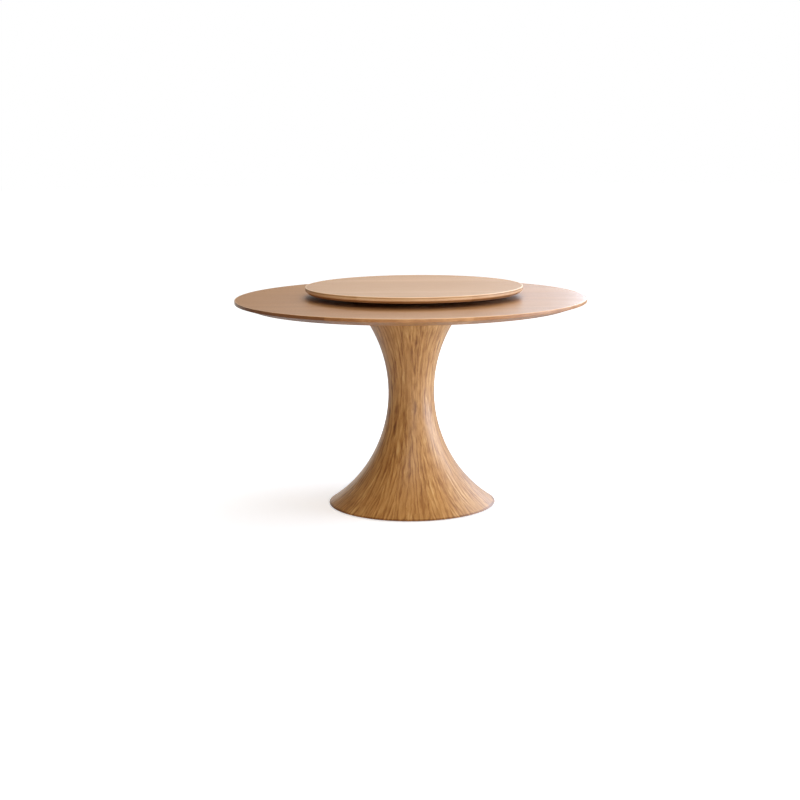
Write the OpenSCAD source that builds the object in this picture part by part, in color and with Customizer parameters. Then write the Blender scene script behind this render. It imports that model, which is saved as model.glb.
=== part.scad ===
// Round dining table: a veneered board on a trumpet-shaped pedestal, with a loose
// ball-bearing turntable standing on it. Millimetres, +Z up, origin on the floor
// at the pedestal's centre.

/* [Tabletop] */
// Diameter of the tabletop
table_d = 1270; // [1000:10:1500]
// Height of the tabletop's surface above the floor
table_h = 760; // [720:1:790]
// Thickness of the tabletop, veneers included
top_t = 30; // [24:1:40]
// Height of the upright band at the tabletop's edge
top_band = 12; // [6:1:18]
// How far the bevel under the tabletop's edge runs inwards
top_bevel_w = 55; // [20:1:64]
// Width of the solid lipping round the tabletop's core
top_lipping_w = 70; // [60:1:120]
// Number of curved lengths in the tabletop's lipping
top_lipping_n = 8; // [4:1:12]
// Turn of the first joint between those lengths, round from +X
top_lipping_turn = 18.7; // [0:0.1:45]
// Thickness of the veneer on the faces of both boards
veneer_t = 0.6; // [0.5:0.1:1.5]
// Radius of the eased arris round the top of both boards
arris_r = 2; // [1:0.5:4]

/* [Pedestal] */
// Diameter of the pedestal at its waist, over the veneer
waist_d = 168; // [140:1:200]
// Height of the waist above the floor
waist_h = 414; // [360:1:450]
// Radius of the arc that the pedestal's side follows
sweep_r = 492; // [470:1:640]
// Wall of the pedestal's shell, without the veneer
shell_t = 15; // [10:1:24]
// Thickness of the veneer leaves on the pedestal
leaf_t = 1; // [0.6:0.1:2]
// Number of tapered veneer leaves round the pedestal
leaf_n = 24; // [12:1:36]
// Thickness of a glue line between curved faces and between lengths of lipping
glue_line = 0.1; // [0.05:0.01:0.2]
// Width of the seam between two veneer leaves, at the waist
leaf_seam = 0.05; // [0.02:0.01:0.1]
// Thickness of the plywood disc glued into the pedestal's mouth
mouth_disc_t = 24; // [20:1:40]
// Thickness of the plywood ring glued into the pedestal's foot
foot_ring_t = 18; // [17:1:30]
// Width of the foot ring, across its top
foot_ring_w = 60; // [40:1:90]

/* [Plates and glides] */
// Thickness of the steel plate under the tabletop
top_plate_t = 6; // [4:1:10]
// How far that plate reaches past the pedestal's mouth
top_plate_reach = 46; // [36:1:80]
// Thickness of the steel plate in the foot
base_plate_t = 10; // [5:1:16]
// Gap between the base plate and the shell round it
base_plate_gap = 3; // [1:0.5:8]
// Chamfer round the edges of both steel plates
plate_edge = 0.8; // [0.3:0.1:1.5]
// Diameter of a floor glide
glide_d = 30; // [20:1:40]
// Thickness of a floor glide, which holds the foot off the floor
glide_t = 3; // [2:0.5:6]
// Chamfer round a glide's lower edge
glide_edge = 0.8; // [0.3:0.1:1.5]
// Distance from the base plate's edge to a glide
glide_inset = 8; // [4:1:20]
// Number of floor glides
glide_n = 8; // [4:1:12]

/* [Turntable] */
// Diameter of the turntable
turntable_d = 786; // [600:2:900]
// Thickness of the turntable's board, veneers included
turntable_t = 22; // [18:1:30]
// Height of the upright band at the turntable's edge
turntable_band = 13; // [6:1:15]
// How far the bevel under the turntable's edge runs inwards
turntable_bevel_w = 10; // [4:1:40]
// Width of the solid lipping round the turntable's core
turntable_lipping_w = 50; // [44:1:90]
// Number of curved lengths in the turntable's lipping
turntable_lipping_n = 6; // [4:1:10]
// How far the loose turntable stands off the table's centre
turntable_shift = 12.6; // [0:0.1:40]
// Diameter of the board that the turntable stands on
base_board_d = 440; // [380:5:560]
// Thickness of that board
base_board_t = 9; // [8:0.5:14]
// Chamfer round that board's edges
base_board_edge = 1.5; // [0.5:0.5:2.5]
// Diameter of a rubber foot
pad_d = 24; // [16:1:30]
// Depth of the seat that a rubber foot sits in
pad_seat = 2; // [1:0.5:4]
// How far the rubber feet hold the base board off the tabletop
pad_proud = 2; // [1:0.5:5]
// Clearance between a rubber foot and the tabletop it rests on
pad_play = 0.01; // [0.005:0.005:0.02]
// Chamfer round a rubber foot's lower edge
pad_edge = 0.6; // [0.2:0.1:0.8]
// Distance from the base board's edge to a rubber foot
pad_inset = 10; // [5:1:20]
// Number of rubber feet
pad_n = 6; // [3:1:8]

/* [Bearing] */
// Diameter of the circle that the balls' centres lie on
pitch_d = 300; // [260:2:330]
// Diameter of a ball
ball_d = 5; // [4:0.5:6]
// Number of balls
ball_n = 30; // [12:1:48]
// Running clearance between a ball and its groove
ball_play = 0.08; // [0.05:0.01:0.1]
// Clearance between a ball and its pocket in the cage
pocket_play = 0.15; // [0.1:0.01:0.25]
// Gap between the two race rings
race_gap = 2; // [1.6:0.1:2.4]
// Clearance between the cage and each race ring
cage_play = 0.3; // [0.2:0.05:0.5]
// Width of each race ring
race_w = 15; // [13:0.5:20]
// Height of each race ring
race_t = 8; // [7.5:0.5:12]
// How much higher the turning ring stands than the fixed one
race_step = 1; // [0.5:0.1:1.2]

/* [Fasteners] */
// Diameter of the bolts that hold the tabletop
bolt_d = 8; // [6:1:10]
// Number of bolts that hold the tabletop
bolt_n = 8; // [4:1:12]
// Diameter of a bolt's button head
bolt_head_d = 14; // [12:0.5:16]
// Height of a bolt's button head
bolt_head_h = 4.4; // [3.5:0.1:6]
// Size across the flats of a bolt's hexagon socket
bolt_key = 5; // [4:0.5:6]
// Outer diameter of a bolt's washer
washer_d = 17; // [16:0.5:22]
// Thickness of a bolt's washer
washer_t = 1.6; // [1:0.1:2.5]
// Clearance round a bolt in the top plate and in its washer
bolt_gap = 0.5; // [0.2:0.1:1]
// Outer diameter of a threaded insert
insert_d = 12; // [11:0.5:15]
// Length of a threaded insert
insert_l = 18; // [14:1:20]
// How far a bolt stops short of its insert's inner end
bolt_short = 1; // [0:0.5:4]
// Diameter of the screws through the steel plates
plate_screw_d = 5; // [4:0.5:6]
// Number of screws through each steel plate
plate_screw_n = 8; // [4:1:12]
// How deep a plate's screws go into the plywood
plate_screw_grip = 15; // [10:1:16]
// Distance from the mouth disc's edge to its screws
plate_screw_inset = 25; // [12:1:60]
// Diameter of the screws through the race rings
race_screw_d = 3.5; // [3:0.1:4]
// Number of screws through each race ring
race_screw_n = 6; // [3:1:8]
// How deep the fixed ring's screws go into the base board
base_screw_grip = 6.5; // [4:0.5:7]
// How deep the turning ring's screws go into the turntable
top_screw_grip = 12; // [8:0.5:15]
// Clearance round a screw or an insert in its hole
screw_gap = 0.1; // [0.05:0.01:0.2]
// Clearance round a screwdriver in the base board's access hole
driver_gap = 1.5; // [1:0.1:3]

/* [Hidden] */
// steps round a small piece, and round a large one
$fn = 48;
large_fn = 180;
cut = 1;
flat_to_corner = 1 / cos(30);

table_r = table_d / 2;
under_z = table_h - top_t;
mouth_z = under_z - top_plate_t;
foot_z = glide_t;

arc_x = waist_d / 2 + sweep_r;
shell_r = sweep_r + leaf_t + glue_line;
cavity_r = shell_r + shell_t;
inner_r = cavity_r + glue_line;

// angle that leaves a gap of the given width at radius r
function gap_angle(width, r) = width / r * 180 / PI;

// distance from the table's axis to an arc of the pedestal at height z
function side(arc_r, z) = arc_x - sqrt(pow(arc_r, 2) - pow(z - waist_h, 2));

mouth_r = side(sweep_r, mouth_z);
top_plate_r = mouth_r + top_plate_reach;
bolt_circle_r = mouth_r + top_plate_reach / 2;
mouth_screw_r = side(inner_r, mouth_z - mouth_disc_t) - plate_screw_inset;

base_plate_z = foot_z + base_plate_t;
base_plate_r = side(cavity_r, base_plate_z) - base_plate_gap;
foot_ring_r = side(inner_r, base_plate_z + foot_ring_t) - foot_ring_w;
foot_screw_r = foot_ring_r + foot_ring_w / 2;
glide_circle_r = base_plate_r - glide_inset - glide_d / 2;

board_z = table_h + pad_proud;
race_z = board_z + base_board_t;
disc_z = race_z + race_t + race_step;
ball_z = race_z + (race_t + race_step) / 2;
turntable_r = turntable_d / 2;
ball_r = ball_d / 2;
groove_r = ball_r + ball_play;
pitch_r = pitch_d / 2;
fixed_ring_r = pitch_r - race_gap / 2;
turning_ring_r = pitch_r + race_gap / 2;
base_screw_r = fixed_ring_r - race_w / 2;
top_screw_r = turning_ring_r + race_w / 2;
top_screw_turn = 180 / race_screw_n;
pad_circle_r = base_board_d / 2 - pad_inset - pad_d / 2;

bolt_l = washer_t + top_plate_t + insert_l - bolt_short;

oak = [0.78, 0.60, 0.42];
oak_end = [0.70, 0.50, 0.32];
plywood = [0.80, 0.68, 0.50];
black_steel = [0.12, 0.12, 0.13];
zinc = [0.72, 0.73, 0.75];
alloy = [0.80, 0.81, 0.83];

// children n times round the axis, r away from it, the first one turned by start
module around(n, r, start = 0) {
    for (i = [0 : n - 1])
        rotate(start + 360 * i / n)
            translate([r, 0, 0])
                children();
}

module at_turntable() {
    translate([turntable_shift, 0, 0])
        children();
}

// the two boards are built alike: a core, curved lengths of lipping and two veneers
module board_core(r, t, z, lipping_w) {
    translate([0, 0, z + veneer_t])
        cylinder(r = r - lipping_w - glue_line, h = t - 2 * veneer_t, $fn = large_fn);
}

module board_lipping(r, t, z, lipping_w, band, bevel_w, n) {
    for (i = [0 : n - 1])
        color(oak_end * (1 - 0.06 * (i % 2)))
            rotate(360 * i / n)
                rotate_extrude(angle = 360 / n - gap_angle(glue_line, r), $fn = large_fn)
                    translate([0, z + t])
                        intersection() {
                            eased_section(r, [
                                [r - lipping_w, veneer_t - t],
                                [r - bevel_w, veneer_t - t],
                                [r, -band],
                                [r, 0],
                                [r - lipping_w, 0]]);
                            translate([0, -t])
                                square([r, t - veneer_t]);
                        }
}

// covers core and lipping, and shares its arris with the lipping
module face_veneer(r, z) {
    rotate_extrude($fn = large_fn)
        translate([0, z])
            eased_section(r, [[0, -veneer_t], [r, -veneer_t], [r, 0], [0, 0]]);
}

// half section with its top corner at [r, 0], which is rounded off
module eased_section(r, corners) {
    difference() {
        polygon(corners);
        translate([r - arris_r, -arris_r])
            difference() {
                square(arris_r + cut);
                circle(r = arris_r, $fn = large_fn);
            }
    }
}

// disc standing on z = 0 with a chamfer round both of its edges
module eased_disc(r, t, edge) {
    rotate_extrude($fn = large_fn)
        polygon([[0, 0], [r - edge, 0], [r, edge], [r, t - edge], [r - edge, t], [0, t]]);
}

// small round foot standing on z = 0 with a chamfer round its lower edge
module eased_foot(d, t, edge) {
    rotate_extrude()
        polygon([[0, 0], [d / 2 - edge, 0], [d / 2, edge], [d / 2, t], [0, t]]);
}

module back_veneer(r, z) {
    translate([0, 0, z])
        cylinder(r = r, h = veneer_t, $fn = large_fn);
}

// countersunk screw with its head's face at z = 0 and its end at z = -length
module screw(d, length) {
    difference() {
        union() {
            translate([0, 0, -length])
                cylinder(d = d, h = length);
            translate([0, 0, -d / 2])
                cylinder(d1 = d, d2 = 2 * d, h = d / 2);
        }
        for (turn = [0, 90])
            rotate(turn)
                translate([-d / 2, -d / 12, -d / 3])
                    cube([d, d / 6, d / 2]);
    }
}

// what such a screw passes through, larger all round by the clearance
module screw_hole(d, length) {
    translate([0, 0, -length - screw_gap])
        cylinder(r = d / 2 + screw_gap, h = length + screw_gap + cut);
    translate([0, 0, -d / 2])
        cylinder(r1 = d / 2 + screw_gap, r2 = d + screw_gap, h = d / 2);
    cylinder(r = d + screw_gap, h = cut);
}

// part of the pedestal's wall between two arcs, from one height to another
module pedestal_wall(near_r, far_r, low_z, high_z, turn = 360) {
    rotate_extrude(angle = turn, $fn = large_fn)
        intersection() {
            translate([arc_x, waist_h])
                difference() {
                    circle(r = far_r, $fn = large_fn);
                    circle(r = near_r, $fn = large_fn);
                }
            translate([0, low_z])
                square([arc_x, high_z - low_z]);
        }
}

// plywood turned to the inside of the pedestal's wall, with a hole of radius hole_r
module pedestal_insert(hole_r, low_z, t) {
    rotate_extrude($fn = large_fn)
        difference() {
            translate([hole_r, low_z])
                square([arc_x - hole_r, t]);
            translate([arc_x, waist_h])
                circle(r = inner_r, $fn = large_fn);
        }
}

module tabletop_core() {
    color(plywood)
        difference() {
            board_core(table_r, top_t, under_z, top_lipping_w);
            insert_holes();
        }
}

module insert_holes() {
    around(bolt_n, bolt_circle_r)
        translate([0, 0, under_z - cut])
            cylinder(r = insert_d / 2 + screw_gap, h = insert_l + screw_gap + cut);
}

module tabletop_lipping() {
    rotate(top_lipping_turn)
        board_lipping(table_r, top_t, under_z, top_lipping_w, top_band, top_bevel_w,
            top_lipping_n);
}

module tabletop_face_veneer() {
    color(oak)
        face_veneer(table_r, table_h);
}

module tabletop_back_veneer() {
    color(oak)
        difference() {
            back_veneer(table_r - top_bevel_w, under_z);
            insert_holes();
        }
}

module tabletop_inserts() {
    color(zinc)
        around(bolt_n, bolt_circle_r)
            translate([0, 0, under_z])
                difference() {
                    cylinder(d = insert_d, h = insert_l);
                    translate([0, 0, -cut])
                        cylinder(r = bolt_d / 2 + screw_gap, h = insert_l + 2 * cut);
                }
}

module tabletop_bolts() {
    color(black_steel)
        around(bolt_n, bolt_circle_r)
            translate([0, 0, mouth_z - washer_t])
                button_bolt();
}

// domed head below z = 0 with a hexagon socket, shank above
module button_bolt() {
    head_r = bolt_head_d / 2;
    dome_r = (pow(head_r, 2) + pow(bolt_head_h, 2)) / (2 * bolt_head_h);
    cylinder(d = bolt_d, h = bolt_l);
    difference() {
        rotate_extrude()
            intersection() {
                translate([0, dome_r - bolt_head_h])
                    circle(r = dome_r, $fn = large_fn);
                translate([0, -bolt_head_h])
                    square([head_r, bolt_head_h]);
            }
        translate([0, 0, -bolt_head_h - cut])
            cylinder(d = bolt_key * flat_to_corner, h = bolt_head_h / 2 + cut, $fn = 6);
    }
}

module tabletop_washers() {
    color(zinc)
        around(bolt_n, bolt_circle_r)
            translate([0, 0, mouth_z - washer_t])
                difference() {
                    cylinder(d = washer_d, h = washer_t);
                    translate([0, 0, -cut])
                        cylinder(r = bolt_d / 2 + bolt_gap, h = washer_t + 2 * cut);
                }
}

module top_plate() {
    color(black_steel)
        difference() {
            translate([0, 0, mouth_z])
                eased_disc(top_plate_r, top_plate_t, plate_edge);
            around(bolt_n, bolt_circle_r)
                translate([0, 0, mouth_z - cut])
                    cylinder(r = bolt_d / 2 + bolt_gap, h = top_plate_t + 2 * cut);
            mouth_screw_holes();
        }
}

module mouth_screw_holes() {
    around(plate_screw_n, mouth_screw_r)
        translate([0, 0, under_z])
            screw_hole(plate_screw_d, top_plate_t + plate_screw_grip);
}

module top_plate_screws() {
    color(zinc)
        around(plate_screw_n, mouth_screw_r)
            translate([0, 0, under_z])
                screw(plate_screw_d, top_plate_t + plate_screw_grip);
}

module mouth_disc() {
    color(plywood)
        difference() {
            pedestal_insert(0, mouth_z - mouth_disc_t, mouth_disc_t);
            mouth_screw_holes();
        }
}

module pedestal_shell() {
    color(plywood)
        pedestal_wall(shell_r, cavity_r, foot_z, mouth_z);
}

// tapered leaves laid edge to edge, narrow at the waist and wide at both ends
module pedestal_veneer() {
    leaf_turn = 360 / leaf_n - gap_angle(leaf_seam, waist_d / 2);
    for (i = [0 : leaf_n - 1])
        color(oak * (1 - 0.05 * (i % 3)))
            rotate(360 * i / leaf_n)
                pedestal_wall(sweep_r, sweep_r + leaf_t, foot_z, mouth_z, leaf_turn);
}

module foot_ring() {
    color(plywood)
        difference() {
            pedestal_insert(foot_ring_r, base_plate_z, foot_ring_t);
            foot_screw_holes();
        }
}

module foot_screw_holes() {
    around(plate_screw_n, foot_screw_r, 180 / plate_screw_n)
        translate([0, 0, foot_z])
            mirror([0, 0, 1])
                screw_hole(plate_screw_d, base_plate_t + plate_screw_grip);
}

module base_plate() {
    color(black_steel)
        difference() {
            translate([0, 0, foot_z])
                eased_disc(base_plate_r, base_plate_t, plate_edge);
            foot_screw_holes();
        }
}

module base_plate_screws() {
    color(zinc)
        around(plate_screw_n, foot_screw_r, 180 / plate_screw_n)
            translate([0, 0, foot_z])
                mirror([0, 0, 1])
                    screw(plate_screw_d, base_plate_t + plate_screw_grip);
}

module floor_glides() {
    color([0.15, 0.14, 0.13])
        around(glide_n, glide_circle_r)
            eased_foot(glide_d, glide_t, glide_edge);
}

module turntable_core() {
    color(plywood)
        at_turntable()
            difference() {
                board_core(turntable_r, turntable_t, disc_z, turntable_lipping_w);
                top_screw_holes();
            }
}

module turntable_lipping() {
    at_turntable()
        board_lipping(turntable_r, turntable_t, disc_z, turntable_lipping_w,
            turntable_band, turntable_bevel_w, turntable_lipping_n);
}

module turntable_face_veneer() {
    color(oak)
        at_turntable()
            face_veneer(turntable_r, disc_z + turntable_t);
}

module turntable_back_veneer() {
    color(oak)
        at_turntable()
            difference() {
                back_veneer(turntable_r - turntable_bevel_w, disc_z);
                top_screw_holes();
            }
}

// one race ring, from low_r to high_r, with half of the balls' groove in the face
// that lies nearest to them
module race_ring(low_r, high_r, low_z) {
    rotate_extrude($fn = large_fn)
        difference() {
            translate([low_r, low_z])
                square([high_r - low_r, race_t]);
            translate([pitch_r, ball_z])
                circle(r = groove_r, $fn = large_fn);
        }
}

module turning_ring() {
    color(alloy)
        at_turntable()
            difference() {
                race_ring(turning_ring_r, turning_ring_r + race_w, race_z + race_step);
                top_screw_holes();
            }
}

module top_screw_holes() {
    around(race_screw_n, top_screw_r, top_screw_turn)
        translate([0, 0, race_z + race_step])
            mirror([0, 0, 1])
                screw_hole(race_screw_d, race_t + top_screw_grip);
}

module turning_ring_screws() {
    color(zinc)
        at_turntable()
            around(race_screw_n, top_screw_r, top_screw_turn)
                translate([0, 0, race_z + race_step])
                    mirror([0, 0, 1])
                        screw(race_screw_d, race_t + top_screw_grip);
}

module bearing_balls() {
    color(zinc)
        at_turntable()
            around(ball_n, pitch_r)
                translate([0, 0, ball_z])
                    sphere(r = ball_r);
}

// thin ring between the races, pierced by a pocket for each ball
module ball_cage() {
    cage_t = race_gap - 2 * cage_play;
    cage_h = race_t - race_step;
    color([0.90, 0.89, 0.85])
        at_turntable()
            difference() {
                translate([0, 0, ball_z - cage_h / 2])
                    difference() {
                        cylinder(r = pitch_r + cage_t / 2, h = cage_h, $fn = large_fn);
                        translate([0, 0, -cut])
                            cylinder(r = pitch_r - cage_t / 2, h = cage_h + 2 * cut, $fn = large_fn);
                    }
                around(ball_n, pitch_r)
                    translate([0, 0, ball_z])
                        rotate([0, 90, 0])
                            cylinder(r = ball_r + pocket_play, h = 4 * cage_t, center = true);
            }
}

module fixed_ring() {
    color(alloy)
        at_turntable()
            difference() {
                race_ring(fixed_ring_r - race_w, fixed_ring_r, race_z);
                base_screw_holes();
            }
}

module base_screw_holes() {
    around(race_screw_n, base_screw_r)
        translate([0, 0, race_z + race_t])
            screw_hole(race_screw_d, race_t + base_screw_grip);
}

module fixed_ring_screws() {
    color(zinc)
        at_turntable()
            around(race_screw_n, base_screw_r)
                translate([0, 0, race_z + race_t])
                    screw(race_screw_d, race_t + base_screw_grip);
}

// stands on the tabletop; a driver reaches the turning ring's screws, one at a time,
// through the access hole
module turntable_base() {
    color(black_steel)
        at_turntable()
            difference() {
                translate([0, 0, board_z])
                    eased_disc(base_board_d / 2, base_board_t, base_board_edge);
                base_screw_holes();
                rotate(top_screw_turn)
                    translate([top_screw_r, 0, board_z - cut])
                        cylinder(r = race_screw_d + driver_gap, h = base_board_t + 2 * cut);
                around(pad_n, pad_circle_r)
                    translate([0, 0, board_z - cut])
                        cylinder(r = pad_d / 2 + screw_gap, h = pad_seat + cut);
            }
}

module turntable_feet() {
    color([0.10, 0.10, 0.10])
        at_turntable()
            around(pad_n, pad_circle_r)
                translate([0, 0, table_h + pad_play])
                    eased_foot(pad_d, pad_proud + pad_seat - pad_play, pad_edge);
}

tabletop_core();
tabletop_lipping();
tabletop_face_veneer();
tabletop_back_veneer();
tabletop_inserts();
tabletop_bolts();
tabletop_washers();
top_plate();
top_plate_screws();
mouth_disc();
pedestal_shell();
pedestal_veneer();
foot_ring();
base_plate();
base_plate_screws();
floor_glides();
turntable_core();
turntable_lipping();
turntable_face_veneer();
turntable_back_veneer();
turning_ring();
turning_ring_screws();
bearing_balls();
ball_cage();
fixed_ring();
fixed_ring_screws();
turntable_base();
turntable_feet();
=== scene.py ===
import math

import bpy
import numpy as np
from mathutils import Matrix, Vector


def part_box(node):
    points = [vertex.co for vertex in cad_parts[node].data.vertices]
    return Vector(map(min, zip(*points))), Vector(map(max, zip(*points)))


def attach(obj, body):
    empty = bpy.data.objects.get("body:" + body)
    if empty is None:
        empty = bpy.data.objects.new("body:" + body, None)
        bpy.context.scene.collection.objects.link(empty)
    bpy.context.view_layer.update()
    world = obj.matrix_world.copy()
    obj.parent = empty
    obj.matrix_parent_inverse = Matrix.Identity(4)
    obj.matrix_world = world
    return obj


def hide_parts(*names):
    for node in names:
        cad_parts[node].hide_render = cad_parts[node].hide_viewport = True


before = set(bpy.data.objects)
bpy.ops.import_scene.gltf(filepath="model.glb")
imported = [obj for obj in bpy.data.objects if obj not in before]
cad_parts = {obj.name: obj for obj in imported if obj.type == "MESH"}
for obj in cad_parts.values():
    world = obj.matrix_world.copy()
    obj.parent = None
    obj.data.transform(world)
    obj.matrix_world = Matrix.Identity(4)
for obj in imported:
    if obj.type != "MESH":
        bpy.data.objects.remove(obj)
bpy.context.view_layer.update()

print("frame loaded:", len(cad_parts), "nodes")


# shader maths: expressions on sockets add their nodes

class Wire:
    # one output socket; + - * / on it add Math nodes, also with a number on the left
    def __init__(self, sheet, socket):
        self.sheet = sheet
        self.socket = socket

    def maths(self, operation, *values):
        return self.sheet.node("ShaderNodeMath", {"operation": operation},
                               dict(enumerate(values)))

    def __add__(self, other):
        return self.maths("ADD", self, other)

    def __radd__(self, other):
        return self.maths("ADD", other, self)

    def __sub__(self, other):
        return self.maths("SUBTRACT", self, other)

    def __rsub__(self, other):
        return self.maths("SUBTRACT", other, self)

    def __mul__(self, other):
        return self.maths("MULTIPLY", self, other)

    def __rmul__(self, other):
        return self.maths("MULTIPLY", other, self)

    def __truediv__(self, other):
        return self.maths("DIVIDE", self, other)

    def whole(self):
        return self.maths("FLOOR", self)

    def fraction(self):
        return self.maths("FRACT", self)

    def size(self):
        return self.maths("ABSOLUTE", self)

    def orElse(self, other):
        return self.maths("MAXIMUM", self, other)

    def root(self):
        return self.maths("SQRT", self)

    def step(self, low, high):
        # 0 below low, 1 above high, 3t^2 - 2t^3 between them
        return self.sheet.node("ShaderNodeMapRange", {"interpolation_type": "SMOOTHSTEP"},
                               {0: self, 1: low, 2: high, 3: 0.0, 4: 1.0})


class NodeSheet:
    # the nodes of one material or world
    def __init__(self, nodeTree):
        self.nodes = nodeTree.nodes
        self.links = nodeTree.links
        self.nodes.clear()

    def node(self, kind, settings, inputs, output=0):
        # settings first, then the sockets; gives the wire of one output
        made = self.nodes.new(kind)
        stops = settings.get("stops")
        for key, value in settings.items():
            if key != "stops":
                setattr(made, key, value)
        if stops:
            elements = made.color_ramp.elements
            while len(elements) < len(stops):
                elements.new(0.5)
            for element, (place, colour) in zip(elements, stops):
                element.position = place
                element.color = (*colour, 1.0)
        for key, value in inputs.items():
            if isinstance(value, Wire):
                self.links.new(value.socket, made.inputs[key])
            else:
                made.inputs[key].default_value = value
        return None if output is None else Wire(self, made.outputs[output])

    def vector(self, x, y, z=0.0):
        return self.node("ShaderNodeCombineXYZ", {}, {0: x, 1: y, 2: z})

    def split(self, vector):
        return [self.node("ShaderNodeSeparateXYZ", {}, {0: vector}, i) for i in range(3)]

    def place(self):
        # the piece's own coordinates, in metres
        return self.split(self.node("ShaderNodeTexCoord", {}, {}, "Object"))

    def carried(self, attribute):
        # a vector kept on the mesh's points
        return self.split(self.node("ShaderNodeAttribute", {"attribute_name": attribute},
                                    {}, "Vector"))

    def ray(self, kind):
        # 1 for rays of this kind, 0 for all others
        return self.node("ShaderNodeLightPath", {}, {}, kind)

    def noise(self, vector, detail=2.0, rough=0.5):
        return self.node("ShaderNodeTexNoise", {},
                         {"Vector": vector, "Scale": 1.0, "Detail": detail, "Roughness": rough})

    def mix(self, factor, low, high):
        # low and high are wires or red, green, blue
        low, high = [colour if isinstance(colour, Wire) else (*colour, 1.0)
                     for colour in (low, high)]
        return self.node("ShaderNodeMix", {"data_type": "RGBA", "clamp_factor": True},
                         {0: factor, 6: low, 7: high}, 2)


class Finish(NodeSheet):
    # one material; constants go straight onto the shader's sockets
    def __init__(self, name, constants):
        self.material = bpy.data.materials.new(name)
        self.material.use_nodes = True
        super().__init__(self.material.node_tree)
        output = self.nodes.new("ShaderNodeOutputMaterial")
        self.shader = self.nodes.new("ShaderNodeBsdfPrincipled")
        self.links.new(self.shader.outputs[0], output.inputs[0])
        for socketName, value in constants.items():
            self.shader.inputs[socketName].default_value = value

    def drive(self, socketName, wire):
        self.links.new(wire.socket, self.shader.inputs[socketName])

    def relief(self, height, depth):
        # height from 0 to 1 becomes depth metres of bump
        bump = self.node("ShaderNodeBump", {},
                         {"Strength": 1.0, "Distance": depth, "Height": height})
        self.drive("Normal", bump)


def sRgb(red, green, blue):
    # 0 to 255 as written in a paint program, to the linear values the shader takes
    def linear(value):
        value = value / 255
        return value / 12.92 if value < 0.04045 else ((value + 0.055) / 1.055) ** 2.4
    return (linear(red), linear(green), linear(blue))


# meshes: every one is a numpy grid or profile in metres, with its place in its points

def makeMesh(name, points, faces, smooth=True):
    mesh = bpy.data.meshes.new(name)
    mesh.from_pydata(points.reshape(-1, 3).tolist(), [], faces)
    mesh.polygons.foreach_set("use_smooth", np.full(len(mesh.polygons), smooth))
    mesh.update()
    piece = bpy.data.objects.new(name, mesh)
    bpy.context.scene.collection.objects.link(piece)
    return piece


def gridFaces(rows, columns, wrapColumns=False):
    # quads of a rows x columns grid of points, optionally closed across its columns
    i = np.arange(rows - 1)[:, None]
    j = np.arange(columns if wrapColumns else columns - 1)[None, :]
    jNext = (j + 1) % columns
    corners = [i * columns + j, (i + 1) * columns + j,
               (i + 1) * columns + jNext, i * columns + jNext]
    return np.stack(np.broadcast_arrays(*corners), -1).reshape(-1, 4)


def keepAttribute(piece, name, values):
    layer = piece.data.attributes.new(name, "FLOAT_VECTOR", "POINT")
    layer.data.foreach_set("vector", values.astype(np.float32).ravel())


def creaseBy(piece, degrees):
    # splits the shading at edges sharper than this, without changing the shape
    piece.data.set_sharp_from_angle(angle=math.radians(degrees))


def arrisArc(radius, top, arris, fromAngle, toAngle, count=8):
    # r = radius - arris + arris cos(a), z = top - arris + arris sin(a)
    a = np.linspace(fromAngle, toAngle, count)
    return np.stack([radius - arris + arris * np.cos(a), top - arris + arris * np.sin(a)], 1)


def easedCorner(before, corner, after, ease, count=6):
    # (1-t)^2 P + 2t(1-t) corner + t^2 Q, with P and Q at distance ease from the corner
    before, corner, after = map(np.array, (before, corner, after))
    p = corner + (before - corner) / np.linalg.norm(before - corner) * ease
    q = corner + (after - corner) / np.linalg.norm(after - corner) * ease
    t = np.linspace(0, 1, count)[:, None]
    return (1 - t) ** 2 * p + 2 * t * (1 - t) * corner + t ** 2 * q


def turnedDisc(name, outline, centreX, steps):
    # outline (r, z) runs from the axis over the edge back to the axis:
    # (x0 + r cos t, r sin t, z)
    body = outline[1:-1]
    t = np.linspace(0, 2 * math.pi, steps, endpoint=False)[None, :]
    r, z = body[:, 0:1], body[:, 1:2]
    rings = np.stack([centreX + r * np.cos(t), r * np.sin(t), z + 0 * t], -1).reshape(-1, 3)
    poles = np.array([[centreX, 0, outline[0, 1]], [centreX, 0, outline[-1, 1]]])
    points = np.concatenate([rings, poles])
    j = np.arange(steps)
    jNext = (j + 1) % steps
    last = (len(body) - 1) * steps
    top = np.stack([np.full(steps, len(rings)), j, jNext], 1)
    bottom = np.stack([np.full(steps, len(rings) + 1), last + jNext, last + j], 1)
    sides = gridFaces(len(body), steps, wrapColumns=True)
    return makeMesh(name, points, sides.tolist() + top.tolist() + bottom.tolist())


# the two boards

# how much the grain leans in from the rim, and how far it moves on from length to length
grainSlip = {"slant": 0.4, "nextAcross": 0.31, "nextAlong": 1.7}


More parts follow.
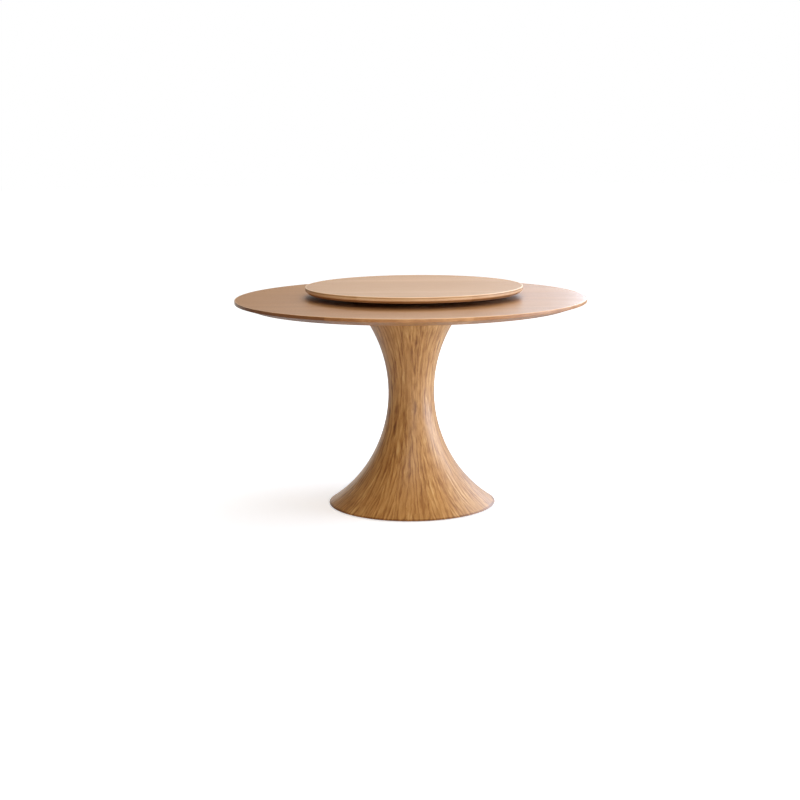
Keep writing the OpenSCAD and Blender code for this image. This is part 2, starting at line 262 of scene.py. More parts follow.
def lippingLengths(name, outline, board):
    # a closed outline (r, z) carried along each arc: (x0 + r cos t, r sin t, z)
    count, steps = board["lengths"], board["stepsPerLength"]
    gap = board["glueLine"] / board["radius"]
    start = math.radians(board["turn"]) + 2 * math.pi * np.arange(count)[:, None] / count
    t = start + np.linspace(0, 2 * math.pi / count - gap, steps)[None, :]
    middle = start + math.pi / count
    r, z = outline[:, 0], outline[:, 1]
    turn = t[:, :, None]
    points = np.stack([board["centreX"] + r * np.cos(turn), r * np.sin(turn), z + 0 * turn], -1)
    # the grain (along, across, shade) is straight in each length, so it leaves at a slant
    away = (t - middle)[:, :, None]
    seed = np.arange(count)[:, None, None]
    along = r * np.sin(away) + grainSlip["nextAlong"] * seed
    across = (z + grainSlip["slant"] * (r * np.cos(away) - board["radius"])
              + grainSlip["nextAcross"] * seed)
    # each length's tone, with painted shade at the tabletop's left, runs evenly from its first
    # value to its second
    lengthToneAndShade = np.array(board["lengthToneAndShade"])
    share = ((t - start) / (2 * math.pi / count))[:, :, None]
    shade = lengthToneAndShade[seed, 0] * (1 - share) + lengthToneAndShade[seed, 1] * share
    grain = np.stack(np.broadcast_arrays(along, across, shade), -1)
    side = len(outline)
    around = gridFaces(steps, side, wrapColumns=True)[:, ::-1]
    faces = []
    for length in range(count):
        first = length * steps * side
        last = first + (steps - 1) * side
        faces += (around + first).tolist()
        faces.append(list(range(first + side - 1, first - 1, -1)))
        faces.append(list(range(last, last + side)))
    piece = makeMesh(name, points, faces)
    keepAttribute(piece, "grain", grain)
    return piece


def boardSizes(face, edge, back):
    # a round board's sizes to 0.1 mm, from its face veneer, lipping and back veneer
    bottom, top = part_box(back)[0][2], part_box(face)[1][2]
    west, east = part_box(edge)[0][0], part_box(edge)[1][0]
    centreX = round((west + east) / 2, 4)
    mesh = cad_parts[edge].data
    points = np.empty(3 * len(mesh.vertices))
    mesh.vertices.foreach_get("co", points)
    r = np.hypot(points[0::3] - centreX, points[1::3])
    sizes = {"centreX": centreX, "radius": r.max(), "lippingWidth": r.max() - r.min(),
             "top": top, "veneer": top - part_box(face)[0][2], "thickness": top - bottom}
    return {name: round(float(size), 4) for name, size in sizes.items()}


# In metres, turn in degrees. bevelIn: how far the undercut goes in from the rim.
# lengthToneAndShade: of each length's two ends. paintedLines: from and to, above the board's
# top, and strength; below 0 a painted highlight, above 0 darker (painted shade on the undercut,
# and a dark line under the turntable's arris).
tableTop = {
    **boardSizes("tabletop_face_veneer", "tabletop_lipping", "tabletop_back_veneer"),
    "arris": 0.002, "band": 0.012, "bevelIn": 0.055, "ease": 0.0012,
    "lengths": 8, "turn": 18.7, "stepsPerLength": 60, "glueLine": 0.0001, "steps": 480,
    # the dark ends of lengths 2 to 4, round the left, are painted shade on the rim turned from
    # the light; the rest is tone from length to length
    "lengthToneAndShade": [(-0.10, 0.02), (0.06, -0.02), (-0.04, -0.54), (-0.62, -0.95),
               (-1.00, -0.60), (-0.34, -0.06), (-0.20, -0.34), (-0.20, -0.10)],
    # a painted highlight along the arris
    "paintedLines": [(-0.0030, 0.0010, -0.45)],
}
turningTop = {
    **boardSizes("turntable_face_veneer", "turntable_lipping", "turntable_back_veneer"),
    "arris": 0.002, "band": 0.013, "bevelIn": 0.010, "ease": 0.0010,
    "lengths": 6, "turn": 0.0, "stepsPerLength": 60, "glueLine": 0.0001, "steps": 360,
    "lengthToneAndShade": [(0.02, -0.02), (-0.04, 0.04), (0.05, -0.06),
               (-0.10, -0.02), (0.10, 0.06), (-0.14, -0.24)],
    # a painted highlight along the arris, a dark line under it, and painted shade on the
    # undercut
    "paintedLines": [(-0.0030, 0.0, -0.50), (-0.0067, -0.0028, 0.55), (-0.0230, -0.0140, 0.60)],
}
faceCrease, edgeCrease = 40, 30  # degrees


def veneerAngle(board):
    # where the veneer's underside meets the arris: arris (1 - sin a) = veneer
    return math.asin((board["arris"] - board["veneer"]) / board["arris"])


def boardFace(name, board):
    # flat to the arris, round it down to the veneer's underside, and flat back to the axis
    arris, radius, top = board["arris"], board["radius"], board["top"]
    halfway, flatEnd = radius * 0.5, radius - 4 * arris
    flat = np.array([[0, top], [halfway, top], [flatEnd, top]])
    low = np.array([[halfway, top - board["veneer"]], [0, top - board["veneer"]]])
    arc = arrisArc(radius, top, arris, math.pi / 2, veneerAngle(board))
    piece = turnedDisc(name, np.concatenate([flat, arc, low]), board["centreX"],
                       board["steps"])
    creaseBy(piece, faceCrease)
    return piece


def boardEdge(name, board):
    # under the veneer, round the rest of the arris, down the band and in along the undercut
    arris, radius, top = board["arris"], board["radius"], board["top"]
    bottom = top - board["thickness"] + board["veneer"]
    inner = radius - board["lippingWidth"]
    bandLow = (radius, top - board["band"])
    bevelLow = (radius - board["bevelIn"], bottom)
    outline = np.concatenate([
        [[inner, top - board["veneer"]]],
        arrisArc(radius, top, arris, veneerAngle(board), 0),
        easedCorner((radius, top - arris), bandLow, bevelLow, board["ease"]),
        [bevelLow, [inner, bottom]]])
    piece = lippingLengths(name, outline, board)
    creaseBy(piece, edgeCrease)
    return piece


tableFace = boardFace("table_face_veneer", tableTop)
tableEdge = boardEdge("table_edge_lipping", tableTop)
turningFace = boardFace("turning_face_veneer", turningTop)
turningEdge = boardEdge("turning_edge_lipping", turningTop)
print("boards made")


# the pedestal's veneer leaves

# In metres, crease in degrees. nextAcross, nextAlong: how far the grain moves on from leaf
# to leaf, along it in steps of leafOrder. footShadeLine: painted shade along the foot's lowest
# millimetres, from and to, above the floor, and strength.
veneerLow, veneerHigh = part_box("pedestal_veneer")
trumpet = {
    "low": round(veneerLow[2], 4), "high": round(veneerHigh[2], 4),
    "waistRadius": 0.084, "waistHeight": 0.414, "sweep": 0.492,
    "leafThickness": 0.001, "leaves": 24, "seam": 0.00005,
    "acrossSteps": 9, "alongSteps": 81, "crease": 40,
    "nextAcross": 0.137, "nextAlong": 0.83, "leafOrder": 7,
    "footShadeLine": (-0.002, 0.009, 0.40),
}
goldenShare = 0.618  # whole numbers times this spread evenly when the whole part is dropped


def pedestalLeaves(name, leg):
    # on the arc r = x0 - R cos(p), z = zWaist + R sin(p), each leaf turned by t:
    # (r cos t, r sin t, z)
    rows, columns, count = leg["alongSteps"], leg["acrossSteps"], leg["leaves"]
    centre = leg["waistRadius"] + leg["sweep"]
    low = math.asin((leg["low"] - leg["waistHeight"]) / leg["sweep"])
    high = math.asin((leg["high"] - leg["waistHeight"]) / leg["sweep"])
    p = np.linspace(low, high, rows)[None, :, None]
    half = math.pi / count - leg["seam"] / leg["waistRadius"] / 2
    away = np.linspace(-half, half, columns)[None, None, :]
    middle = (2 * math.pi * (np.arange(count) + 0.5) / count)[:, None, None]

    def skin(sweep):
        # the inner skin keeps the outer one's heights, so both end flat
        z = leg["waistHeight"] + leg["sweep"] * np.sin(p)
        r = centre - np.sqrt(sweep ** 2 - (z - leg["waistHeight"]) ** 2)
        t = middle + away
        return np.stack(np.broadcast_arrays(r * np.cos(t), r * np.sin(t), z), -1), r

    outer, r = skin(leg["sweep"])
    inner, _ = skin(leg["sweep"] + leg["leafThickness"])
    points = np.stack([outer, inner], 1)
    # the grain is straight in each leaf: along the sweep, and away from its middle line
    seed = np.arange(count)[:, None, None]
    along = leg["sweep"] * p + leg["nextAlong"] * ((seed * leg["leafOrder"]) % count)
    across = r * away + leg["nextAcross"] * seed
    shade = (seed * goldenShare) % 1 - 0.5
    grain = np.stack(np.broadcast_arrays(along, across, shade), -1)
    # faces of one leaf: front, back and the strip round its rim
    i, j = np.arange(rows), np.arange(columns)
    rim = np.concatenate([j, i[1:] * columns + columns - 1,
                          (rows - 1) * columns + j[::-1][1:], i[::-1][1:-1] * columns])
    rimNext = np.roll(rim, -1)
    layer = rows * columns
    front = gridFaces(rows, columns)[:, ::-1]
    back = gridFaces(rows, columns) + layer
    edge = np.stack([rim, rimNext, rimNext + layer, rim + layer], 1)[:, ::-1]
    leaf = np.concatenate([front, back, edge])
    shift = (np.arange(count) * 2 * layer)[:, None, None]
    piece = makeMesh(name, points, (leaf[None] + shift).reshape(-1, 4).tolist())
    keepAttribute(piece, "grain", np.stack([grain, grain], 1))
    creaseBy(piece, leg["crease"])
    return piece


leaves = pedestalLeaves("pedestal_leaves", trumpet)
print("pedestal made")


# wood

oakTones = [
    (0.00, sRgb(112, 68, 32)),
    (0.30, sRgb(150, 100, 56)),
    (0.55, sRgb(178, 128, 80)),
    (0.80, sRgb(194, 146, 98)),
    (1.00, sRgb(208, 166, 122)),
]
turningTones = [
    (0.00, sRgb(124, 84, 50)),
    (0.30, sRgb(158, 114, 78)),
    (0.55, sRgb(180, 140, 104)),
    (0.80, sRgb(194, 155, 119)),
    (1.00, sRgb(230, 198, 164)),
]
paleBy, warmBy = 0.80, 0.78  # a power on every channel, a share of the blue
paleTones = [(place, tuple(c ** paleBy for c in colour)) for place, colour in oakTones]
warmTones = [(place, (red, green, blue * warmBy)) for place, (red, green, blue) in oakTones]

# Across and Along: how often a figure changes in a metre. By: how far it moves the grain.
# Step: where it starts and where it is full. Bare names: strength in the tone.
straightOak = {
    "tones": oakTones, "middle": 0.63, "leafShade": 0.10,
    "swayAcross": 4.0, "swayAlong": 1.1, "swayBy": 0.030,
    "waveAcross": 30.0, "waveAlong": 10.0, "waveBy": 0.0,
    "broadAcross": 11.0, "broadAlong": 0.8, "broad": 0.50,
    "growthAcross": 7.0, "growthAlong": 0.7, "growthRings": 9.0, "ringsPerMetre": 130.0,
    "lateFrom": 0.45, "lateTo": 0.93, "late": 0.20,
    "streakAcross": 46.0, "streakAlong": 2.0, "streakStep": (0.60, 0.72), "streak": 0.10,
    "mottleAcross": 60.0, "mottleAlong": 2.0, "mottle": 0.06,
    "patchAcross": 6.0, "patchAlong": 3.0, "patchStep": (0.35, 0.65), "patch": 0.0,
    "rayAcross": 90.0, "rayAlong": 2.0, "rayStep": (0.58, 0.70), "ray": 0.0,
    "fibreAcross": 900.0, "fibreAlong": 14.0, "fibre": 0.30,
    "poreAcross": 1700.0, "poreAlong": 75.0, "poreStep": (0.60, 0.72), "pore": 0.22,
    "poreLate": (0.35, 0.75), "poreClosed": 0.7,
    "fleckAcross": 240.0, "fleckAlong": 60.0, "fleckStep": (0.64, 0.74), "fleck": 0.07,
    "flitchWidth": 0.158, "flitchShift": 0.041, "flitchAlong": 0.61, "flitchAcross": 0.013,
    "relief": 0.00012, "level": 0.8, "poreDeep": 0.7, "lateDeep": 0.15, "fibreRise": 0.25,
    "ridge": 0.0,
    "gloss": 0.60, "rough": 0.35, "coat": 0.0, "coatRough": 0.30,
    "smearAcross": 9.0, "smearAlong": 6.0, "smear": 0.10, "poreRough": 0.15,
}
figuredOak = dict(
    straightOak, tones=warmTones, middle=0.62,
    swayAcross=14.0, swayAlong=5.0, swayBy=0.010,
    waveAcross=60.0, waveAlong=24.0, waveBy=0.010,
    broadAcross=30.0, broadAlong=4.0, broad=0.34,
    growthAcross=22.0, growthAlong=3.0, growthRings=3.0, ringsPerMetre=60.0,
    lateFrom=0.30, late=0.26,
    streakAcross=110.0, streakAlong=16.0, streak=0.14,
    mottleAcross=105.0, mottleAlong=20.0, mottle=1.0, ridge=4.0,
    patchAcross=14.0, patchAlong=6.0, patch=0.9,
    rayAcross=150.0, rayAlong=5.0, ray=0.16,
    gloss=0.35, rough=0.44, coat=0.26)
# leafShade 1.0: each length's tone and painted shade go into the colour in full
edgeOak = dict(straightOak, ringsPerMetre=300.0, growthRings=4.0, late=0.14, middle=0.64,
               rough=0.45, gloss=0.36, leafShade=1.0)
paleEdgeOak = dict(edgeOak, tones=paleTones, middle=0.94)
turningOak = dict(straightOak, tones=turningTones, middle=0.78, gloss=0.45, rough=0.50,
                  broad=0.30)
backOak = dict(straightOak, middle=0.54, gloss=0.25, rough=0.58, flitchWidth=0.21)

# each figure cuts the noise at a place of its own; the patches run on from leaf to leaf
cuts = {"wave": 9.0, "growth": 3.0, "streak": 7.0, "mottle": 11.0, "patch": 21.0, "ray": 13.0,
        "pore": 1.0, "fleck": 5.0, "smear": 2.0}
seedPerShade = 37.0
lineSoft = 0.3  # share of a line's height over which it comes and goes


def oak(finish, along, across, look, seed):
    # tone = middle + bands - rings - streaks + mottle + fibres - pores + flecks + rays
    def figure(name, course, cut, detail=2.0):
        # noise of (course x Across, along x Along, cut)
        return finish.noise(finish.vector(course * look[name + "Across"],
                                          along * look[name + "Along"], cut), detail)

    sway = figure("sway", across, seed) - 0.5
    wave = figure("wave", across, seed + cuts["wave"]) - 0.5
    line = across + sway * look["swayBy"] + wave * look["waveBy"]
    broad = figure("broad", line, seed) - 0.5
    growth = figure("growth", line, seed + cuts["growth"])
    ring = (line * look["ringsPerMetre"] + growth * look["growthRings"]).fraction()
    late = ring.step(look["lateFrom"], look["lateTo"]) * (1 - ring.step(look["lateTo"], 1.0))
    streak = figure("streak", line, seed + cuts["streak"]).step(*look["streakStep"])
    mottle = figure("mottle", line, seed + cuts["mottle"]) - 0.5
    patch = figure("patch", line, cuts["patch"], detail=1.0).step(*look["patchStep"])
    mottle = mottle * (1 + (patch - 0.5) * look["patch"])
    ray = figure("ray", line, seed + cuts["ray"], detail=1.0).step(*look["rayStep"])
    fibre = figure("fibre", line, seed) - 0.5
    pore = figure("pore", line, seed + cuts["pore"], detail=1.0).step(*look["poreStep"])
    pore = pore * (1 - ring.step(*look["poreLate"]) * look["poreClosed"])
    fleck = figure("fleck", line, seed + cuts["fleck"], detail=1.0).step(*look["fleckStep"])
    tone = (look["middle"] + broad * look["broad"] - late * look["late"]
            - streak * look["streak"] + mottle * look["mottle"] + fibre * look["fibre"]
            - pore * look["pore"] + fleck * look["fleck"] + ray * look["ray"])
    relief = (look["level"] - pore * look["poreDeep"] - late * look["lateDeep"]
              + fibre * look["fibreRise"] + mottle * look["ridge"])
    return tone, relief, pore


def oakFinish(name, look, source, paintedLines=(), arrisHighlight=None):
    finish = Finish(name, {"IOR": 1.5, "Specular IOR Level": look["gloss"],
                           "Coat Weight": look["coat"], "Coat Roughness": look["coatRough"]})
    x, y, z = finish.place()
    if source == "carried":
        along, across, shade = finish.carried("grain")
        seed = shade * seedPerShade
    else:
        # flitches laid side by side, each one slipped along its neighbour
        seed = ((y + look["flitchShift"]) / look["flitchWidth"]).whole()
        along = x + seed * look["flitchAlong"]
        across = y + seed * look["flitchAcross"]
        shade = (seed * goldenShare).fraction() - 0.5
    tone, relief, pore = oak(finish, along, across, look, seed)
    tone = tone + shade * look["leafShade"]
    for low, high, depth in paintedLines:
        # darker between two heights: painted shade on the turntable's undercut and along the
        # foot of the pedestal, and a dark line under the turntable's arris;
        # a depth below 0 lightens, a painted highlight along an arris
        soft = (high - low) * lineSoft
        tone = tone - z.step(low, low + soft) * (1 - z.step(high - soft, high)) * depth
    colour = finish.node("ShaderNodeValToRGB", {"stops": look["tones"]}, {0: tone})
    if arrisHighlight:
        # a painted highlight: the arris is painted pale over the last millimetres of the
        # board's radius
        board = arrisHighlight["board"]
        fromAxis = x - board["centreX"]
        radius = (fromAxis * fromAxis + y * y).root()
        highlit = radius.step(board["radius"] - arrisHighlight["from"], board["radius"] - arrisHighlight["full"])
        colour = finish.mix(highlit * arrisHighlight["depth"], colour, arrisHighlight["colour"])
    finish.drive("Base Color", colour)
    smear = finish.noise(finish.vector(along * look["smearAlong"],
                                       across * look["smearAcross"], cuts["smear"])) - 0.5
    finish.drive("Roughness",
                 look["rough"] + smear * look["smear"] + pore * look["poreRough"])
    finish.relief(relief, look["relief"])
    return finish.material


def paintedEdgeLines(board):
    # the board's painted lines, highlight and shade, as heights above the floor
    return [(board["top"] + low, board["top"] + high, depth)
            for low, high, depth in board["paintedLines"]]


# painted highlights along the arrises of the two face veneers
tableArrisHighlight = {"board": tableTop, "from": 0.006, "full": 0.001, "depth": 0.7,
            "colour": sRgb(236, 200, 166)}
turningArrisHighlight = {"board": turningTop, "from": 0.006, "full": 0.001, "depth": 0.8,
              "colour": sRgb(250, 224, 192)}
materials = {
    "oakFace": oakFinish("oak_face", straightOak, "place", arrisHighlight=tableArrisHighlight),
    "oakTurning": oakFinish("oak_turning_face", turningOak, "place", arrisHighlight=turningArrisHighlight),
    "oakBack": oakFinish("oak_back", backOak, "place"),
    "oakEdge": oakFinish("oak_lipping", edgeOak, "carried", paintedEdgeLines(tableTop)),
    "oakPaleEdge": oakFinish("oak_pale_lipping", paleEdgeOak, "carried",
                             paintedEdgeLines(turningTop)),
    "oakLeaves": oakFinish("oak_pedestal", figuredOak, "carried", [trumpet["footShadeLine"]]),
}
print("wood made")


# plies, steel, rubber and nylon

# thick and relief in metres; glue: where its line starts and is full, as shares of a ply's
# thickness from the ply's middle
plies = {
    "thick": 0.0016, "glue": (0.40, 0.5), "glueDark": 0.35, "glueDeep": 0.4,
    "fibreAlong": 18.0, "fibreAcross": 700.0, "fibreUp": 900.0,
    "broadAlong": 3.0, "broadAcross": 30.0,
    "middle": 0.56, "fibre": 0.5, "broad": 0.5, "turnedDark": 0.16,
    "rough": 0.66, "fibreRough": 0.2, "relief": 0.0002,
    "tones": [(0.0, sRgb(140, 98, 58)), (0.45, sRgb(196, 158, 110)),
              (1.0, sRgb(226, 198, 156))],
}


def plywoodFinish(name, look):
    # the grain turns from ply to ply, with a dark glue line between them
    finish = Finish(name, {"IOR": 1.45, "Specular IOR Level": 0.3})
    x, y, z = finish.place()
    ply = z / look["thick"]
    turned = ((ply * 0.5).fraction() * 2.0).whole()
    glue = (ply.fraction() - 0.5).size().step(*look["glue"])
    along = x * (1 - turned) + y * turned
    across = y * (1 - turned) + x * turned
    fibre = finish.noise(finish.vector(along * look["fibreAlong"], across * look["fibreAcross"],
                                       z * look["fibreUp"])) - 0.5
    broad = finish.noise(finish.vector(along * look["broadAlong"], across * look["broadAcross"],
                                       ply.whole())) - 0.5
    tone = (look["middle"] + fibre * look["fibre"] + broad * look["broad"]
            - turned * look["turnedDark"] - glue * look["glueDark"])
    finish.drive("Base Color",
                 finish.node("ShaderNodeValToRGB", {"stops": look["tones"]}, {0: tone}))
    finish.drive("Roughness", look["rough"] + fibre * look["fibreRough"])
    finish.relief(0.5 + fibre - glue * look["glueDeep"], look["relief"])
    return finish.material


def speckledFinish(name, look):
    # fine grain over slow patches, for coated steel, turned steel, rubber and nylon
    finish = Finish(name, look["constants"])
    x, y, z = finish.place()
    fine = finish.noise(finish.vector(x * look["fine"], y * look["fine"], z * look["fine"]),
                        detail=3.0) - 0.5
    slow = finish.noise(finish.vector(x * look["slow"], y * look["slow"],
                                      z * look["slow"])) - 0.5
    finish.drive("Base Color", finish.mix(0.5 + slow * look["patch"] + fine * look["grain"],
                                          look["dark"], look["light"]))
    finish.drive("Roughness",
                 look["rough"] + slow * look["roughPatch"] + fine * look["roughGrain"])
    finish.relief(0.5 + fine, look["relief"])
    return finish.material


# fine, slow: how often each changes in a metre. grain, patch: what they add to the colour;
# roughGrain, roughPatch: to the roughness. relief in metres.
plainSteel = {"Metallic": 1.0}
plainNylon = {"IOR": 1.53}
speckled = {
    "blackSteel": ("black_steel", {
        "constants": {"Specular IOR Level": 0.45}, "fine": 1400.0, "slow": 9.0,
        "patch": 0.5, "grain": 0.5, "dark": sRgb(22, 22, 23), "light": sRgb(40, 40, 42),
        "rough": 0.52, "roughPatch": 0.12, "roughGrain": 0.12, "relief": 0.00006}),
    "blackBolts": ("black_bolts", {
        "constants": plainSteel, "fine": 2400.0, "slow": 90.0,
        "patch": 0.7, "grain": 0.4, "dark": sRgb(34, 33, 34), "light": sRgb(66, 64, 62),
        "rough": 0.38, "roughPatch": 0.14, "roughGrain": 0.08, "relief": 0.00001}),
    "zincSteel": ("zinc_steel", {
        "constants": plainSteel, "fine": 1800.0, "slow": 120.0,
        "patch": 0.8, "grain": 0.4, "dark": sRgb(168, 168, 166), "light": sRgb(214, 214, 208),
        "rough": 0.30, "roughPatch": 0.12, "roughGrain": 0.10, "relief": 0.00001}),
    "ballSteel": ("ball_steel", {
        "constants": plainSteel, "fine": 900.0, "slow": 200.0,
        "patch": 0.4, "grain": 0.2, "dark": sRgb(196, 197, 199), "light": sRgb(226, 227, 229),
        "rough": 0.10, "roughPatch": 0.05, "roughGrain": 0.03, "relief": 0.000002}),
    "nylonCage": ("nylon_cage", {
        "constants": plainNylon, "fine": 700.0, "slow": 60.0,
        "patch": 0.6, "grain": 0.3, "dark": sRgb(208, 204, 192), "light": sRgb(232, 229, 219),
        "rough": 0.42, "roughPatch": 0.10, "roughGrain": 0.06, "relief": 0.00002}),
    "nylonGlides": ("nylon_glides", {
        "constants": plainNylon, "fine": 900.0, "slow": 50.0,
        "patch": 0.6, "grain": 0.4, "dark": sRgb(44, 38, 34), "light": sRgb(66, 58, 52),
        "rough": 0.55, "roughPatch": 0.14, "roughGrain": 0.10, "relief": 0.00004}),
    "blackBoard": ("black_board", {
        "constants": {"Specular IOR Level": 0.35}, "fine": 600.0, "slow": 14.0,
        "patch": 0.5, "grain": 0.4, "dark": sRgb(24, 23, 22), "light": sRgb(44, 42, 40),
        "rough": 0.60, "roughPatch": 0.12, "roughGrain": 0.10, "relief": 0.00005}),
    "rubberFeet": ("rubber_feet", {
        "constants": {"Specular IOR Level": 0.3}, "fine": 1100.0, "slow": 60.0,
        "patch": 0.6, "grain": 0.4, "dark": sRgb(20, 20, 20), "light": sRgb(38, 37, 36),
        "rough": 0.78, "roughPatch": 0.10, "roughGrain": 0.08, "relief": 0.00006}),
}
raceAlloy = {
    "centreX": turningTop["centreX"], "marksPerMetre": 4200.0, "slow": 40.0,
    "marks": 0.8, "patch": 0.5, "dark": sRgb(186, 187, 188), "light": sRgb(222, 223, 224),
    "rough": 0.30, "roughMarks": 0.12, "roughPatch": 0.08, "relief": 0.00002,
}


def turnedFinish(name, look):
    # tool marks are circles round the bearing's axis: noise of the distance from it
    finish = Finish(name, plainSteel)
    x, y, z = finish.place()
    fromAxis = x - look["centreX"]
    radius = (fromAxis * fromAxis + y * y).root()
    marks = finish.noise(
        finish.vector(radius * look["marksPerMetre"], z * look["marksPerMetre"]),
        detail=3.0, rough=0.7) - 0.5
    slow = finish.noise(finish.vector(x * look["slow"], y * look["slow"],
                                      z * look["slow"])) - 0.5
    finish.drive("Base Color", finish.mix(0.5 + marks * look["marks"] + slow * look["patch"],
                                          look["dark"], look["light"]))
    finish.drive("Roughness",
                 look["rough"] + marks * look["roughMarks"] + slow * look["roughPatch"])
    finish.relief(0.5 + marks, look["relief"])
    return finish.material


materials["plywood"] = plywoodFinish("plywood", plies)
materials["raceAlloy"] = turnedFinish("race_alloy", raceAlloy)
for finishName, (materialName, look) in speckled.items():
    materials[finishName] = speckledFinish(materialName, look)

nodeMaterials = {
    "oakBack": ["tabletop_back_veneer", "turntable_back_veneer"],
    "oakFace": ["tabletop_face_veneer"],
    "oakTurning": ["turntable_face_veneer"],
    "oakEdge": ["tabletop_lipping"],
    "oakPaleEdge": ["turntable_lipping"],
    "oakLeaves": ["pedestal_veneer"],
    "plywood": ["tabletop_core", "mouth_disc", "pedestal_shell", "foot_ring",
                "turntable_core"],
    "blackSteel": ["top_plate", "base_plate"],
    "blackBolts": ["tabletop_bolts"],
    "zincSteel": ["tabletop_inserts", "tabletop_washers", "top_plate_screws",
                  "base_plate_screws", "turning_ring_screws", "fixed_ring_screws"],
    "ballSteel": ["bearing_balls"],
    "raceAlloy": ["turning_ring", "fixed_ring"],
    "nylonCage": ["ball_cage"],
    "nylonGlides": ["floor_glides"],
    "blackBoard": ["turntable_base"],
    "rubberFeet": ["turntable_feet"],
}


def paint(piece, material):
    piece.data.materials.clear()
    piece.data.materials.append(material)


for finishName, nodeNames in nodeMaterials.items():
    for nodeName in nodeNames:
        paint(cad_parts[nodeName], materials[finishName])
print("nodes painted:", sum(map(len, nodeMaterials.values())))

newPieces = [
    (tableFace, "oakFace", "oak_face", "table", "tabletop_face_veneer"),
    (tableEdge, "oakEdge", "oak_lipping", "table", "tabletop_lipping"),
    (leaves, "oakLeaves", "oak_pedestal", "table", "pedestal_veneer"),
    (turningFace, "oakTurning", "oak_face", "turntable", "turntable_face_veneer"),
    (turningEdge, "oakPaleEdge", "oak_lipping", "turntable", "turntable_lipping"),
]
for piece, finishName, slotName, bodyName, nodeName in newPieces:
    paint(piece, materials[finishName])
    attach(piece, bodyName)
    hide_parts(nodeName)
print("new pieces:", len(newPieces))


# lamps: name, place, target, width and height, watts, colour

white = (1.0, 1.0, 1.0)
daylight = (0.84, 0.96, 1.15)
coolDaylight = (0.77, 0.95, 1.26)
lamplight = (1.08, 0.99, 0.86)
lamps = [
    ("right_box", (5.0, 0.6, 1.6), (0.0, 0.0, 0.5), (4.4, 2.6), 190, daylight),
    ("right_low", (3.0, -0.8, 0.5), (0.0, 0.0, 0.3), (2.0, 0.9), 36, coolDaylight),
    ("over_back", (0.2, 1.5, 2.6), (0.0, 0.0, 0.7), (2.0, 1.6), 30, white),
    ("over_back_right", (1.7, 1.1, 2.0), (0.2, 0.0, 0.7), (1.4, 1.4), 14, daylight),
    ("overhead", (0.3, -0.2, 3.2), (0.0, 0.0, 0.7), (2.4, 2.4), 16, white),
    ("front", (0.4, -4.6, 2.2), (0.0, 0.0, 0.5), (2.4, 1.6), 31, lamplight),
    ("front_top", (0.0, -3.0, 3.4), (0.0, 0.0, 0.7), (2.4, 1.6), 56, white),
    ("front_low", (1.2, -4.0, 0.6), (0.0, 0.0, 0.3), (2.4, 1.0), 37, lamplight),
]
cards = [
    ("back_right", (1.7, 3.2, 1.45), (0.2, 0.0, 0.7), (2.6, 1.2), 9, daylight),
    ("back_edge", (1.55, 3.2, 1.3), (0.2, 0.0, 0.7), (1.2, 1.0), 13, daylight),
    ("back_low_left", (-1.9, 3.2, 0.35), (-0.1, 0.0, 0.3), (2.4, 0.7), 8, lamplight),
]
softLamp = ("low_left", (-2.4, -1.0, 0.5), (0.0, 0.0, 0.35), (1.6, 0.8), 3, lamplight)


def lamp(name, place, target, size, watts, colour):
    # a rectangle that faces its target, unseen by the camera
    data = bpy.data.lights.new(name, "AREA")
    data.shape = "RECTANGLE"
    data.size, data.size_y = size
    data.energy = watts
    data.color = colour
    made = bpy.data.objects.new(name, data)
    bpy.context.scene.collection.objects.link(made)
    away = np.array(target) - np.array(place)
    across = math.hypot(away[0], away[1])
    made.location = place
    made.rotation_euler = (math.atan2(across, -away[2]), 0,
                           math.atan2(away[1], away[0]) - math.pi / 2)
    made.visible_camera = False
    return made


for row in lamps:
    lamp(*row)
for row in cards:
    lamp(*row).visible_diffuse = False  # only mirrored
lamp(*softLamp).visible_glossy = False  # only lights


# the room round the table: dim on the left, bright on the right, white to the camera

# strengths; glossTurn: how far to the right a direction points where the left side ends and
# where the right side is full, from -1 to 1
studio = {
    "fill": 0.10, "glossLeft": 0.15, "glossRight": 1.18, "glossTurn": (-0.25, 0.45),
    "leftTint": (1.04, 0.99, 0.91), "rightTint": (0.92, 0.98, 1.12), "backdrop": 1.0,
}
world = bpy.data.worlds.new("studio")
bpy.context.scene.world = world
world.use_nodes = True
room = NodeSheet(world.node_tree)
sideways = room.split(room.node("ShaderNodeTexCoord", {}, {}, "Generated"))[0]
toRight = sideways.step(*studio["glossTurn"])
mirrored = studio["glossLeft"] * (1 - toRight) + studio["glossRight"] * toRight
cameraRay = room.ray("Is Camera Ray")
clearRay = room.ray("Is Glossy Ray").orElse(room.ray("Is Transmission Ray"))
strength = studio["fill"] * (1 - clearRay) + mirrored * clearRay
strength = strength * (1 - cameraRay) + studio["backdrop"] * cameraRay
tint = room.mix(toRight, studio["leftTint"], studio["rightTint"])
background = room.node("ShaderNodeBackground", {},
                       {"Color": room.mix(cameraRay, tint, white), "Strength": strength})
room.node("ShaderNodeOutputWorld", {}, {0: background}, None)


# the floor glows a little towards the camera, so it reads white but keeps the shadow

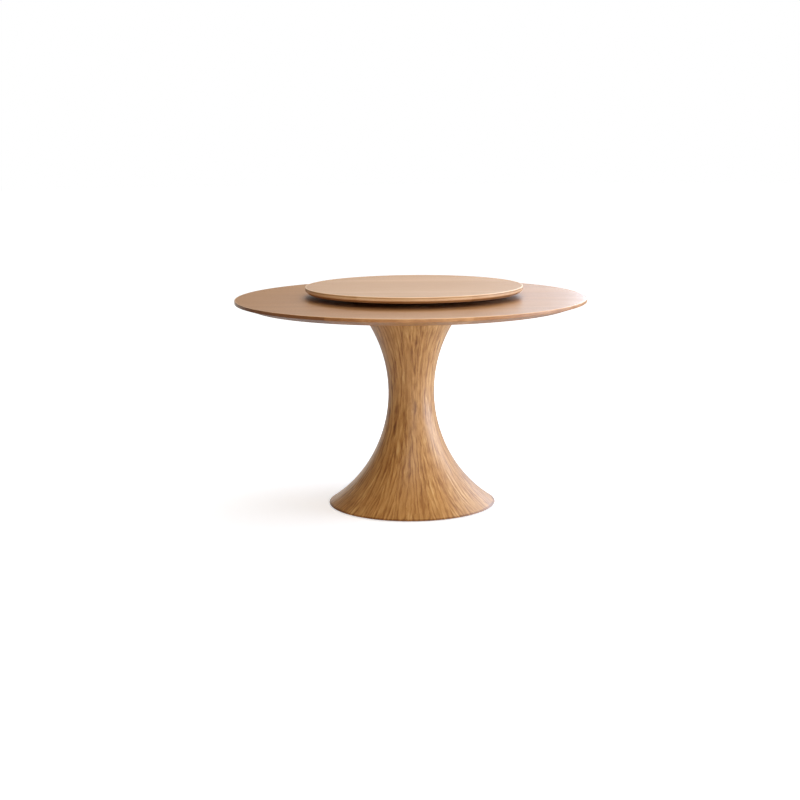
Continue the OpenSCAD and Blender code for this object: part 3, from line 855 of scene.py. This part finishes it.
# radius and below in metres; whiteFrom: how many from the axis the glow starts to grow,
# and is full
ground = {
    "radius": 30.0, "steps": 96, "below": 0.0002,
    "colour": (0.84, 0.83, 0.82), "speckShare": 0.98, "speckPerMetre": 1.0, "speck": 0.4,
    "glow": 0.50, "whiteFrom": (0.9, 2.4), "mirrorGlow": 0.12,
}


def makeFloor(look):
    # a disc (R cos t, R sin t, -below)
    t = np.linspace(0, 2 * math.pi, look["steps"], endpoint=False)
    points = np.stack([look["radius"] * np.cos(t), look["radius"] * np.sin(t),
                       0 * t - look["below"]], 1)
    piece = makeMesh("floor", points, [list(range(look["steps"]))], smooth=False)
    finish = Finish("floor", {"Roughness": 0.9, "Specular IOR Level": 0.0,
                              "Emission Strength": 1.0})
    x, y, z = finish.place()
    speck = finish.noise(finish.vector(x * look["speckPerMetre"],
                                       y * look["speckPerMetre"])) - 0.5
    finish.drive("Base Color", finish.mix(
        0.5 + speck * look["speck"], look["colour"],
        tuple(channel * look["speckShare"] for channel in look["colour"])))
    # away from the table the glow grows to full white
    farAway = (x * x + y * y).root().step(*look["whiteFrom"])
    glow = look["glow"] + farAway * (1 - look["glow"])
    clear = finish.ray("Is Glossy Ray").orElse(finish.ray("Is Transmission Ray"))
    finish.drive("Emission Color",
                 finish.ray("Is Camera Ray") * glow + clear * look["mirrorGlow"])
    paint(piece, finish.material)
    return piece


floor = makeFloor(ground)


# the camera: turned to its left, tilted down from level and rolled, in degrees

view = {"focalPixels": 1527.0, "framePixels": 800.0, "sensorWidth": 36.0,
        "place": (0.0, -5.506, 1.3732), "turn": 0.4302, "down": 10.2143, "roll": -0.4867}
cameraData = bpy.data.cameras.new("camera")
cameraData.sensor_width = view["sensorWidth"]
cameraData.lens = view["focalPixels"] / view["framePixels"] * view["sensorWidth"]
camera = bpy.data.objects.new("camera", cameraData)
bpy.context.scene.collection.objects.link(camera)
turned = (Matrix.Rotation(math.radians(view["turn"]), 4, "Z")
          @ Matrix.Rotation(math.radians(90 - view["down"]), 4, "X")
          @ Matrix.Rotation(math.radians(view["roll"]), 4, "Z"))
camera.matrix_world = Matrix.Translation(view["place"]) @ turned
bpy.context.scene.camera = camera
bpy.context.scene.view_settings.view_transform = "Standard"
print("stage set")
